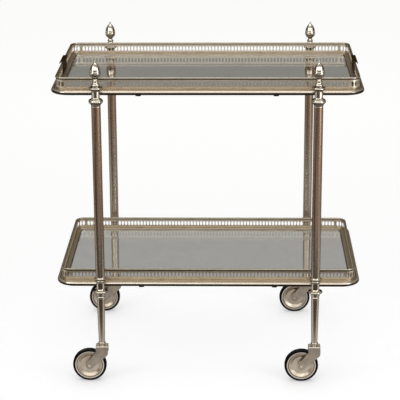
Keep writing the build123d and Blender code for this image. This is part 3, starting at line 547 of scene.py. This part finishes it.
def ease(points, radius, closed=False):
    """Round every corner: swap it for a parabola between points at most radius before and after it."""
    before, after = np.roll(points, 1, 0), np.roll(points, -1, 0)
    into, out = before - points, after - points
    run_in, run_out = np.hypot(*into.T), np.hypot(*out.T)
    reach_in = np.minimum(radius, MOST_OF_RUN * run_in) / np.maximum(run_in, TINY)
    reach_out = np.minimum(radius, MOST_OF_RUN * run_out) / np.maximum(run_out, TINY)
    start, end = points + into * reach_in[:, None], points + out * reach_out[:, None]
    t = EASE_STEPS
    curve = (1 - t) ** 2 * start[:, None] + 2 * t * (1 - t) * points[:, None] + t**2 * end[:, None]
    if closed:
        return curve.reshape(-1, 2)
    return np.concatenate([points[:1], curve[1:-1].reshape(-1, 2), points[-1:]])


print("a corner is eased in", EASE_STEPS.size - 1, "steps")

# %% [markdown]
# ## Turned pieces
# Spools, columns, finials, legs, wheels and tyres all come off a lathe, so one function serves them:
# each profile point goes round its axis. The posts stand upright and the casters lie on their side,
# which only changes which way the profile's height points. Blender's screw modifier could do the same,
# but arrays also keep each point's radius, which the wheels' finish needs.

# %% Lathe
TURN_STEPS = 72


def lathe(profile, centre, sideways=False):
    """Surface of revolution: radius times cosine and sine of the angle, height along the axis."""
    angle = np.linspace(0, 2 * np.pi, TURN_STEPS, endpoint=False)[None, :]
    radius, height = profile[:, :1], profile[:, 1:] + 0 * angle
    across, rise = radius * np.cos(angle), radius * np.sin(angle)
    points = np.stack((across, height, rise) if sideways else (across, rise, height), -1)
    return points.reshape(-1, 3) * MM + np.array(centre)


print("turned pieces have", TURN_STEPS, "points round")

# %% Pieces for every post


def turn_pieces(
    kind, profile, material, edge, body="frame", sideways=False, closed=False, z=None
):
    """Turn one profile for each post, about the middle of the piece that it stands for."""
    shape = ease(np.array(profile, float), edge, closed)
    faces = grid_faces(len(shape), TURN_STEPS, close_rows=closed, close_columns=True)
    radius = np.repeat(shape[:, 0] * MM, TURN_STEPS)
    for post in POSTS:
        low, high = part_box(f"{kind}_{post}")
        centre = (low + high) / 2
        if z is not None:
            centre.z = z
        rides = body if body == "frame" else f"{body}_{post}"
        points = lathe(shape, centre, sideways)
        add_piece(
            f"{kind}_{post}_turned", points, faces, rides, material, [f"{kind}_{post}"], radius
        )
    print(kind, "turned from", len(shape), "profile points")


print("each profile will be turned", len(POSTS), "times")

# %% [markdown]
# ## Spools
# Where a post passes a rail it has a turned spool: a ring above, a waist at the rail, and a bead and a
# neck below. Such spools are drilled turnings with the post's rod inside. Their outlines come from the
# photograph as radius and height about the rail, in millimetres. It also shows the columns a little
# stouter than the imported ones, so here they swell by half a millimetre.

# %% Post sizes
UPPER_RAIL_Z = sum(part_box("upper_rail")[i].z for i in (0, 1)) / 2
LOWER_RAIL_Z = sum(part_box("lower_rail")[i].z for i in (0, 1)) / 2
column_low, column_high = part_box("column_front_left")
COLUMN_SWELL = 0.5
COLUMN_R = (column_high.x - column_low.x) / 2 / MM + COLUMN_SWELL
WAIST_R = 9.5
EDGE = 0.35
print("rails at", round(LOWER_RAIL_Z, 3), "and", round(UPPER_RAIL_Z, 3), "m")

# %% Upper and lower spools
upper_spool = outline(
    (0, 19), (9.0, 19), (9.0, 17), (13.6, 17), (13.6, 12, 1.6), (WAIST_R, 7.5, -0.8), (WAIST_R, -6),
    (12.2, -9.8, -1.0), (12.2, -11), (13.9, -11), (13.9, -20.5, 2.6), (COLUMN_R, -28.5, -1.3),
    (0, -28.5),
)
turn_pieces("upper_spool", upper_spool, bright_plate, EDGE, z=UPPER_RAIL_Z)

lower_spool = outline(
    (0, 23), (COLUMN_R, 23), (13.8, 19.5, -0.8), (13.8, 18.5), (10.2, 15.5), (10.8, 15.5),
    (10.8, 11.5, 1.2), (WAIST_R, 8.5, -0.3), (WAIST_R, -6), (14.6, -10, -1.2), (14.6, -15.5, 2.4),
    (11.2, -16.5), (10.2, -23.5), (9.0, -24.5), (9.0, -25.5), (9.7, -26.5), (9.7, -30.5), (0, -30.5),
)
turn_pieces("lower_spool", lower_spool, bright_plate, EDGE, z=LOWER_RAIL_Z)

# %% [markdown]
# ## Columns, legs and finials
# A column is plain drawn tube, a leg tapers to a rounded foot, and a finial is a bud on a short stem.
# Tube could be a cylinder primitive, but the same lathe gives it eased ends and the same names.

# %% Columns, legs and finials
column_half = (column_high.z - column_low.z) / 2 / MM
column = outline((0, column_half), (COLUMN_R, column_half), (COLUMN_R, -column_half), (0, -column_half))
turn_pieces("column", column, column_plate, EDGE)

leg_low, leg_high = (corner.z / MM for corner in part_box("leg_front_left"))
leg = outline((0, leg_high), (9.5, leg_high), (7.3, leg_low + 6.5), (7.3, leg_low, 1.6), (0, leg_low))
turn_pieces("leg", leg, leg_plate, EDGE, z=0)

finial = outline(
    (0, 0), (8.6, 0), (8.6, 5, -1.4), (6.3, 10, 0.7), (6.3, 13, -1.2), (5.4, 18.5, 0.8),
    (12.2, 33, -2.6), (11.9, 33.8), (1.2, 55, -2.6), (0, 58.8, -1.47),
)
turn_pieces("finial", finial, bright_plate, EDGE, z=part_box("finial_front_left")[0].z)

# %% [markdown]
# ## Wheels and tyres
# A wheel is a dished disc with a hub and a raised rim, and its tyre is a ring pressed over the rim.
# Both profiles are closed loops, so the skin needs no poles. They ride on the roller bodies.

# %% Wheels and tyres
WHEEL_EDGE, TYRE_EDGE = 0.5, 0.3
half_wheel = [
    (3.06, 9.5), (8.5, 9.5), (8.5, 2.6), (21.5, 2.6), (28.2, 6.6),
    (29.7, 6.6), (30.5, 5.6), (31.3, 6.6), (34.45, 6.6),
]
wheel = np.array(half_wheel + [(r, -h) for r, h in reversed(half_wheel)])
turn_pieces(
    "wheel", wheel, wheel_alloy, WHEEL_EDGE, body="roller", sideways=True, closed=True
)

tyre = outline(
    (34.5, 6.7), (35.3, 7.5, 0.3), (36, 7.5), (40, 3.5, 1.17),
    (40, -3.5), (36, -7.5, 1.17), (35.3, -7.5), (34.5, -6.7, 0.3),
)
turn_pieces(
    "tyre", tyre, tyre_rubber, TYRE_EDGE, body="roller", sideways=True, closed=True
)

# %% [markdown]
# ## Rails, decks and wires
# The moulding, the pressed deck rim and the gallery's wire each keep one section all round the tray.
# A rounded rectangle is four corner arcs with straight runs between, so a section point that lies a
# given distance inside the tray's edge simply uses a smaller corner radius. The inner parts stand
# nearer to the short ends than to the long sides, so their corners move outwards along the tray.

# %% Sweep round the tray
CORNER_STEPS = 14
tray_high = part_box("upper_rail")[1]
wire_low, wire_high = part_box("upper_gallery_wire")
TRAY_CORNER_R = 44.0
INNER_INSET = 15.0
END_GAIN = ((wire_high.x - wire_high.y) - (tray_high.x - tray_high.y)) / MM
corner_x = tray_high.x / MM - TRAY_CORNER_R
corner_y = tray_high.y / MM - TRAY_CORNER_R


def sweep_round_tray(section, z):
    """Each point is a corner's centre plus its direction times the corner radius less its inset."""
    angle = np.linspace(0, np.pi / 2, CORNER_STEPS)
    quarter = np.arange(4)[:, None] * np.pi / 2
    turn = (quarter + angle[None, :]).reshape(-1)
    signs = np.repeat(np.array([(1, 1), (-1, 1), (-1, -1), (1, -1)]), CORNER_STEPS, axis=0)
    gain = np.where(section[:, 0] > INNER_INSET, END_GAIN, 0.0)
    middle = np.stack([corner_x + gain, corner_y + 0 * gain], -1)
    reach = TRAY_CORNER_R - section[:, 0]
    around = np.stack([np.cos(turn), np.sin(turn)], -1)
    flat = signs[None] * middle[:, None, :] + reach[:, None, None] * around[None]
    height = np.repeat(section[:, 1][:, None], len(turn), axis=1)[..., None]
    points = np.concatenate([flat, height], -1).reshape(-1, 3) * MM
    points[:, 2] += z
    return points, grid_faces(len(section), len(turn), close_rows=True, close_columns=True)


print("inner parts stand", round(END_GAIN, 2), "mm further out at the short ends")

# %% Sections
MOULDING_EDGE, DECK_EDGE, WIRE_STEPS = 0.2, 0.6, 24

moulding = ease(
    outline(
        (6.5, -2.5), (6.5, 5), (4.7, 5), (0.0, 0.3, -1.376),
        (0.0, -0.3), (4.7, -5, -1.376), (24, -5), (24, -2.5),
    ),
    MOULDING_EDGE, closed=True,
)
deck = ease(
    outline(
        (8, -2.5), (8, 5), (33.5, 5), (33.5, -4), (36, -4),
        (36, -5.5), (32, -5.5), (32, 3.5), (9.5, 3.5), (9.5, -2.5),
    ),
    DECK_EDGE, closed=True,
)
WIRE_WIDTH, WIRE_INSET, WIRE_SQUARENESS = 4.6, 23.5, 0.75
wire_half = np.array([WIRE_WIDTH / 2, (wire_high.z - wire_low.z) / MM / 2])
wire_middle = np.array([WIRE_INSET, ((wire_low.z + wire_high.z) / 2 - UPPER_RAIL_Z) / MM])
bend = np.linspace(0, 2 * np.pi, WIRE_STEPS, endpoint=False)
ring = np.stack([np.cos(bend), np.sin(bend)], -1)
wire = np.sign(ring) * np.abs(ring) ** WIRE_SQUARENESS * wire_half + wire_middle
print("section points:", len(moulding), len(deck), len(wire))

# %% Swept pieces
for tier, z, body, deck_node in (
    ("upper", UPPER_RAIL_Z, "upper_tray", "tray_deck"),
    ("lower", LOWER_RAIL_Z, "frame", "lower_deck"),
):
    for kind, section, finish, rides, stands_for in (
        ("rail", moulding, rail_plate, "frame", f"{tier}_rail"),
        ("deck", deck, deck_plate, body, deck_node),
        ("wire", wire, wire_plate, body, f"{tier}_gallery_wire"),
    ):
        points, faces = sweep_round_tray(section, z)
        add_piece(f"{tier}_{kind}_drawn", points, faces, rides, finish, [stands_for])
tray_size = [round(2 * half, 3) for half in (tray_high.x, tray_high.y)]
print("swept rails, decks and wires round a tray of", tray_size, "m")

# %% [markdown]
# ## Grips
# Each short end of the lift off tray has a strip of sheet that is riveted inside the gallery, bends
# over the wire and turns down, so that fingers find a smooth edge. It is a flat strip carried along a
# bent path: the path gives the bends, and the strip's own section gives the width and the thickness.

# %% Bent strips
STRIP_EDGE = 0.4


def bend_strip(path, length, sheet):
    """Each path point carries a rounded oblong: thickness along its normal, width along the depth."""
    ahead = np.gradient(path, axis=0)
    normal = np.stack([ahead[:, 1], -ahead[:, 0]], -1) / np.hypot(*ahead.T)[:, None]
    x, y = sheet / 2, length / 2
    oblong = ease(np.array([(x, y), (-x, y), (-x, -y), (x, -y)]), STRIP_EDGE, closed=True)
    flat = path[:, None] + normal[:, None] * oblong[None, :, :1]
    width = np.repeat(oblong[None, :, 1:], len(path), axis=0)
    points = np.concatenate([flat[..., :1], width, flat[..., 1:]], -1)
    ends = [np.repeat(points[k].mean(0)[None, None], len(oblong), axis=1) for k in (0, -1)]
    points = np.concatenate([ends[0], points, ends[1]])
    return points.reshape(-1, 3) * MM, grid_faces(len(path) + 2, len(oblong), close_columns=True)


print("strips have edges eased by", STRIP_EDGE, "mm")

# %% Grips
STRIP_SHEET, STRIP_OVERHANG, STRIP_DOWNTURN = 1.5, 4.2, 4.0
RIVETED_IN, PASSES_WIRE_IN = 1.5, 3.35
STEP_BELOW_WIRE, STEP_RISE, STRIP_BEND = 1.0, 1.5, 1.0

grip_low, grip_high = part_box("grip_right")
face = wire_high.x / MM - WIRE_WIDTH / 2
lip = wire_high.x / MM + STRIP_OVERHANG - STRIP_SHEET / 2
top = grip_high.z / MM - STRIP_SHEET / 2
riveted, beside_wire = face - RIVETED_IN, face - PASSES_WIRE_IN
under_wire = wire_low.z / MM - STEP_BELOW_WIRE
path = ease(
    outline(
        (riveted, grip_low.z / MM), (riveted, under_wire), (beside_wire, under_wire + STEP_RISE),
        (beside_wire, top), (lip, top), (lip, top - STRIP_DOWNTURN),
    ),
    STRIP_BEND,
)
for end, turn in (("right", 1), ("left", -1)):
    points, faces = bend_strip(path, (grip_high.y - grip_low.y) / MM, STRIP_SHEET)
    points[:, 0] *= turn
    add_piece(
        f"grip_{end}_bent", points, faces, "upper_tray", painted_shade_grip_plate, [f"grip_{end}"]
    )
print("bent two grips of", round(grip_high.y - grip_low.y, 3), "m")

# %% [markdown]
# ## Finishes on the pieces that stay as packed
# Galleries, forks, glass and small hardware already have their true shape in the frame, so they only
# need a finish in place of the flat colour that they came with. A name's first words choose it.

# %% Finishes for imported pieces
packed_finish = {
    "upper_gallery": upper_pierced, "lower_gallery": lower_pierced, "grip_rivets": painted_shade_grip_plate,
    "rest_tabs": rail_plate, "rail_screws": steel, "tie_rods": steel, "stem_sockets": steel,
    "axle": bright_plate, "stem": steel, "fork": fork_plate,
    "upper_glass": upper_glass, "lower_glass": lower_glass,
}
for name, node in nodes.items():
    finish = next((m for start, m in packed_finish.items() if name.startswith(start)), None)
    if finish is not None:
        node.data.materials.clear()
        node.data.materials.append(finish)
print("dressed", sum(not node.hide_render for node in nodes.values()), "packed pieces")

# %% [markdown]
# ## Studio
# Polished metal is a mirror, so the room matters as much as the lamps. Tall softboxes stand left and
# right of the trolley, a wide one stands in front of it and another hangs above. The room beyond them
# is dim and warm, which gives the metal its brown depths, and paler behind the trolley, where the sheet
# that it stands on would rise. The camera itself sees only white there.

# %% Softboxes


def softbox(name, place, aim, width, height, radiance):
    """An area lamp whose face has the given radiance: its power is radiance times area times pi."""
    lamp = bpy.data.lights.new(name, "AREA")
    lamp.shape = "RECTANGLE"
    lamp.size, lamp.size_y = width, height
    lamp.energy = radiance * width * height * np.pi
    made = bpy.data.objects.new(name, lamp)
    made.location = place
    made.rotation_euler = (Vector(aim) - Vector(place)).to_track_quat("-Z", "Y").to_euler()
    made.visible_camera = False
    bpy.context.scene.collection.objects.link(made)


softbox("softbox_left", (-1.55, -1.15, 1.4), (0, 0, 0.6), 0.55, 1.5, 2.6)
softbox("softbox_right", (1.55, -1.15, 0.95), (0, 0, 0.45), 0.55, 1.7, 2.6)
softbox("softbox_above", (0, -0.1, 2.6), (0, 0, 0.5), 2.2, 1.4, 1.2)
softbox("softbox_front", (0, -2.3, 1.9), (0, 0, 1.3), 4.4, 1.6, 1.3)

# %% World
WHITE = (1, 1, 1, 1)
ROOM_LOW = (0.085, 0.060, 0.044, 1)
ROOM_BEHIND = (0.27, 0.25, 0.22, 1)
ROOM_TOP = (0.34, 0.325, 0.30, 1)

world = bpy.data.worlds.new("studio")
bpy.context.scene.world = world
world.use_nodes = True
tree = world.node_tree
tree.nodes.clear()
ray = add_node(tree, "LightPath").outputs
towards = split(tree, add_node(tree, "TexCoord").outputs["Generated"])
dim = blend(tree, ramp(tree, towards["Y"], 0.5, 0.9), ROOM_LOW, ROOM_BEHIND)
room = blend(tree, ramp(tree, towards["Z"], 0.1, 0.75), dim, ROOM_TOP)
shown = blend(tree, ray["Is Camera Ray"], room, WHITE)
sky = add_node(tree, "Background", {"Color": shown, "Strength": 1.0})
tree.links.new(sky.outputs[0], add_node(tree, "OutputWorld").inputs["Surface"])
print("world made with", len(tree.nodes), "nodes")

# %% [markdown]
# ## Floor
# The floor is one sheet of paper, and each kind of ray meets its own version of it. The camera sees
# white: a plain glow, and the lamps' light on top, which is what a shadow takes away. Close to the
# wheels ambient occlusion paints a deeper shadow into the glow, and under the trays a painted glow lifts
# their broad shadow. Glass shows the paper dimmer, with a painted shadow under the trolley. Upright
# metal seen from above mirrors nothing but the floor, so white patches on it, near, left, right and in
# front, with dark between, draw the light and dark stripes down the columns and legs, as white boards
# do in a studio.

# %% Floor sheet
FLOOR_REACH = 40.0

corners = FLOOR_REACH * np.array([(-1, -1, 0), (1, -1, 0), (1, 1, 0), (-1, 1, 0)])
floor_mesh = bpy.data.meshes.new("floor")
floor_mesh.from_pydata(corners.tolist(), [], [(0, 1, 2, 3)])
floor = bpy.data.objects.new("floor", floor_mesh)
bpy.context.scene.collection.objects.link(floor)

floor_paper, tree, shader = new_material("floor_paper")
tree.nodes.remove(shader)
floor_mesh.materials.append(floor_paper)
print("floor sheet", 2 * FLOOR_REACH, "m wide")

# %% Floor as the camera and the glass see it
SHADOW_REACH = 0.16

ray = add_node(tree, "LightPath").outputs
place = own_place(tree)
across, depth = split(tree, place)[:2]
away = add_node(tree, "VectorMath", {0: place}, operation="LENGTH").outputs["Value"]
clear = add_node(tree, "AmbientOcclusion", {"Distance": SHADOW_REACH}, samples=8).outputs["AO"]
# Painted glow under the trays lifts their broad shadow.
under_tray = ramp(tree, away, 0.2, 0.9, 0.045, 0.0)
seen = math(tree, "ADD", ramp(tree, depth, -1.5, 3.0, 0.625, 0.82), under_tray)
# Ambient occlusion paints a deeper shadow into the glow near the wheels.
seen = math(tree, "MULTIPLY", seen, ramp(tree, clear, 0.3, 1.0, 0.55, 1.0))
through = ramp(tree, depth, 0.9, 2.0, 0.41, 0.25)
# Through the glass the paper is painted darker from under the trolley forward, as its shadow.
through = math(tree, "MULTIPLY", through, ramp(tree, depth, 0.2, 0.6, 0.88, 1.0))
print("floor shadows deepen within", SHADOW_REACH, "m of the wheels")

# %% Floor as the metal mirrors it
near = ramp(tree, depth, -0.52, -0.40, 0.0, 0.6)
near = math(tree, "MULTIPLY", near, ramp(tree, depth, -0.2, 0.1, 1.0, 0.7))
left = ramp(tree, across, -2.3, -1.9, 0.5, 0.0)
right = ramp(tree, across, 0.7, 1.2, 0.0, 0.5)
beside = math(tree, "MAXIMUM", left, right)
beside = math(tree, "MULTIPLY", beside, ramp(tree, depth, -0.6, -0.2, 1.0, 0.1))
front_far = ramp(tree, depth, -1.5, -1.0, 0.66, 0.03)
front_near = ramp(tree, depth, -2.4, -1.9, 0.05, 0.66)
front = math(tree, "MINIMUM", front_far, front_near)
front = math(tree, "MULTIPLY", front, ramp(tree, across, -1.2, -0.5, 0.1, 1.0))
mirrored = math(tree, "MAXIMUM", math(tree, "MAXIMUM", near, beside), front)
warm = blend(tree, ramp(tree, mirrored, 0.03, 0.3), (1.0, 0.72, 0.48, 1), WHITE)
print("floor patches for the metal: near, left, right and front")

# %% Floor material


def choose(tree, share, first, second):
    """Mix two numbers by a share from 0 to 1."""
    return add_node(tree, "Mix", {0: share, 2: first, 3: second}, data_type="FLOAT").outputs[0]


bounced = math(tree, "MULTIPLY", mirrored, ray["Is Glossy Ray"])
bounced = choose(tree, ray["Is Transmission Ray"], bounced, through)
glow = choose(tree, ray["Is Camera Ray"], bounced, seen)
glow_tint = blend(tree, ray["Is Glossy Ray"], WHITE, warm)
tone = blend(tree, ray["Is Glossy Ray"], (0.20, 0.20, 0.20, 1), (0.034, 0.025, 0.016, 1))
tone = blend(tree, ray["Is Camera Ray"], tone, (0.445, 0.46, 0.475, 1))
paper_shade = add_node(tree, "BsdfDiffuse", {"Color": tone})
paper_glow = add_node(tree, "Emission", {"Color": glow_tint, "Strength": glow})
both = add_node(tree, "AddShader", {0: paper_shade.outputs[0], 1: paper_glow.outputs[0]})
tree.links.new(both.outputs[0], tree.nodes["Material Output"].inputs["Surface"])
print("floor material made with", len(tree.nodes), "nodes")
